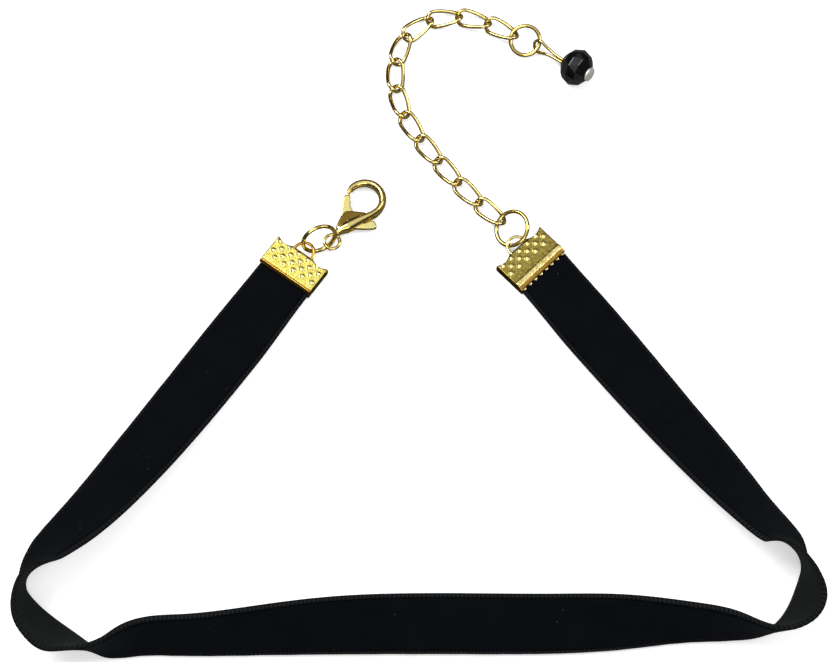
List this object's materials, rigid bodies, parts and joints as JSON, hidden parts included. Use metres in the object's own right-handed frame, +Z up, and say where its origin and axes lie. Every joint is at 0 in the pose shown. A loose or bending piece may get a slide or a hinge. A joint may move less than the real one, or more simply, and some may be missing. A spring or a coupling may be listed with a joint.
{
  "type": "choker necklace",
  "caption": "Velvet ribbon choker with crimped metal ends, a lobster clasp and a short extension chain that ends in a faceted bead.",
  "frame": {"origin": "on the floor, under the middle of the object's bounding box", "axes": "+X to the picture's right, +Y from the loop's front to the clasp, +Z up off the floor that the choker lies on"},
  "size_m": [0.1218, 0.109, 0.01],
  "materials": {
    "velvet": "black velvet pile with a woven back",
    "gold": "bright pale gold plating",
    "black_glass": "polished, opaque black"
  },
  "bodies": {
    "choker": {"ribbon": "velvet", "crimp_left": "gold", "crimp_right": "gold", "ring_clasp": "gold", "clasp_body": "gold", "clasp_pin": "gold", "ring_chain": "gold", "chain_link_01": "gold", "chain_link_02": "gold", "chain_link_03": "gold", "chain_link_04": "gold", "chain_link_05": "gold", "chain_link_06": "gold", "chain_link_07": "gold", "chain_link_08": "gold", "chain_link_09": "gold", "chain_link_10": "gold", "chain_link_11": "gold", "chain_link_12": "gold", "ring_drop": "gold", "drop_pin": "gold", "bead": "black_glass"},
    "lever": {"clasp_lever": "gold"}
  },
  "joints": [
    {"name": "clasp_lever_pivot", "type": "hinge", "parent": "choker", "child": "lever", "pos_m": [-0.01098, 0.01731, 0.0011], "axis": [0, 0, -1], "range_deg": [0, 25], "stiffness_Nm_per_rad": 0.001, "springref_deg": -17.19}
  ]
}
